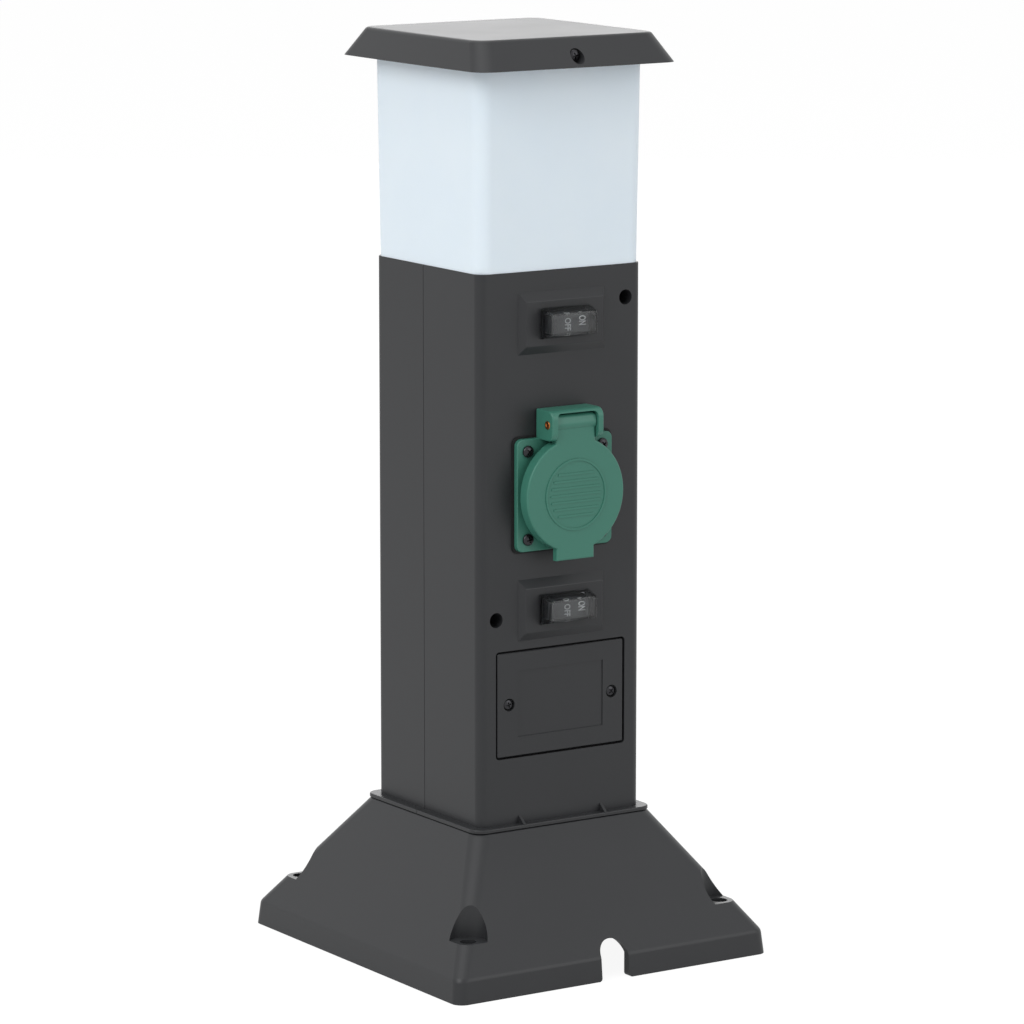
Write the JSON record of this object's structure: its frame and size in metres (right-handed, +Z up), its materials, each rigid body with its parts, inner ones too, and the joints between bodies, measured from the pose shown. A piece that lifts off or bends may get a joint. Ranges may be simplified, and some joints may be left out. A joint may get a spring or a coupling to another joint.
{
  "type": "garden socket column with lamp",
  "caption": "Square garden power column: sprung-lid earthed socket, hooded rocker switches, opal lamp head under a flat cap, screw-down pyramid foot.",
  "frame": {"origin": "middle of the foot's underside", "axes": "+Z up, -Y towards the user (the socket and switches), +X to the right seen from the front"},
  "size_m": [0.1602, 0.1696, 0.4],
  "materials": {
    "dark_shell": "fine moulded texture",
    "opal_shade": "satin, translucent",
    "socket_green": "satin",
    "black_insert": "satin",
    "clear_hood": "clear",
    "soft_seal": "matte",
    "black_screw": "blackened",
    "zinc_steel": "zinc plated",
    "brass_part": "bright",
    "bulb_white": "opal",
    "holder_white": "glazed look",
    "block_grey": "satin",
    "brown_wire": "satin",
    "blue_wire": "satin",
    "earth_wire": "satin"
  },
  "bodies": {
    "column": {"base": "dark_shell", "front_shell": "dark_shell", "rear_shell": "dark_shell", "shell_screws": "black_screw", "deck_screws": "zinc_steel", "gland_body": "black_insert", "gland_nut": "black_insert", "gland_seal": "soft_seal", "gland_locknut": "black_insert", "lamp_plate": "dark_shell", "lamp_holder": "holder_white", "holder_screws": "zinc_steel", "holder_contacts": "brass_part", "bulb_cap": "zinc_steel", "bulb_globe": "bulb_white", "diffuser": "opal_shade", "shade_gasket": "soft_seal", "cap": "dark_shell", "cap_gasket": "soft_seal", "cap_screws": "black_screw", "socket_housing": "socket_green", "socket_gasket": "soft_seal", "socket_screws": "black_screw", "socket_insert": "black_insert", "socket_contacts": "brass_part", "earth_clip": "zinc_steel", "hinge_pin": "brass_part", "lid_spring": "zinc_steel", "switch_body_upper": "black_insert", "switch_body_lower": "black_insert", "hood_upper": "clear_hood", "hood_lower": "clear_hood", "switch_blades_upper": "brass_part", "switch_blades_lower": "brass_part", "terminal_cover": "dark_shell", "cover_gasket": "soft_seal", "cover_screws": "black_screw", "terminal_tray": "dark_shell", "terminal_block": "block_grey", "terminal_screws": "zinc_steel", "live_wires": "brown_wire", "neutral_wires": "blue_wire", "earth_wire": "earth_wire"},
    "lid": {"socket_lid": "socket_green", "lid_gasket": "soft_seal"},
    "rocker_upper_body": {"rocker_upper": "black_insert"},
    "rocker_lower_body": {"rocker_lower": "black_insert"}
  },
  "joints": [
    {"name": "lid_hinge", "type": "hinge", "parent": "column", "child": "lid", "pos_m": [0, -0.0509, 0.2363], "axis": [-1, 0, 0], "range_deg": [0, 110], "stiffness_Nm_per_rad": 0.006, "springref_deg": -68.75},
    {"name": "rocker_upper_tilt", "type": "hinge", "parent": "column", "child": "rocker_upper_body", "pos_m": [0, -0.0436, 0.2789], "axis": [0, 0, 1], "range_deg": [0, 16]},
    {"name": "rocker_lower_tilt", "type": "hinge", "parent": "column", "child": "rocker_lower_body", "pos_m": [0, -0.0436, 0.1556], "axis": [0, 0, 1], "range_deg": [0, 16]}
  ]
}
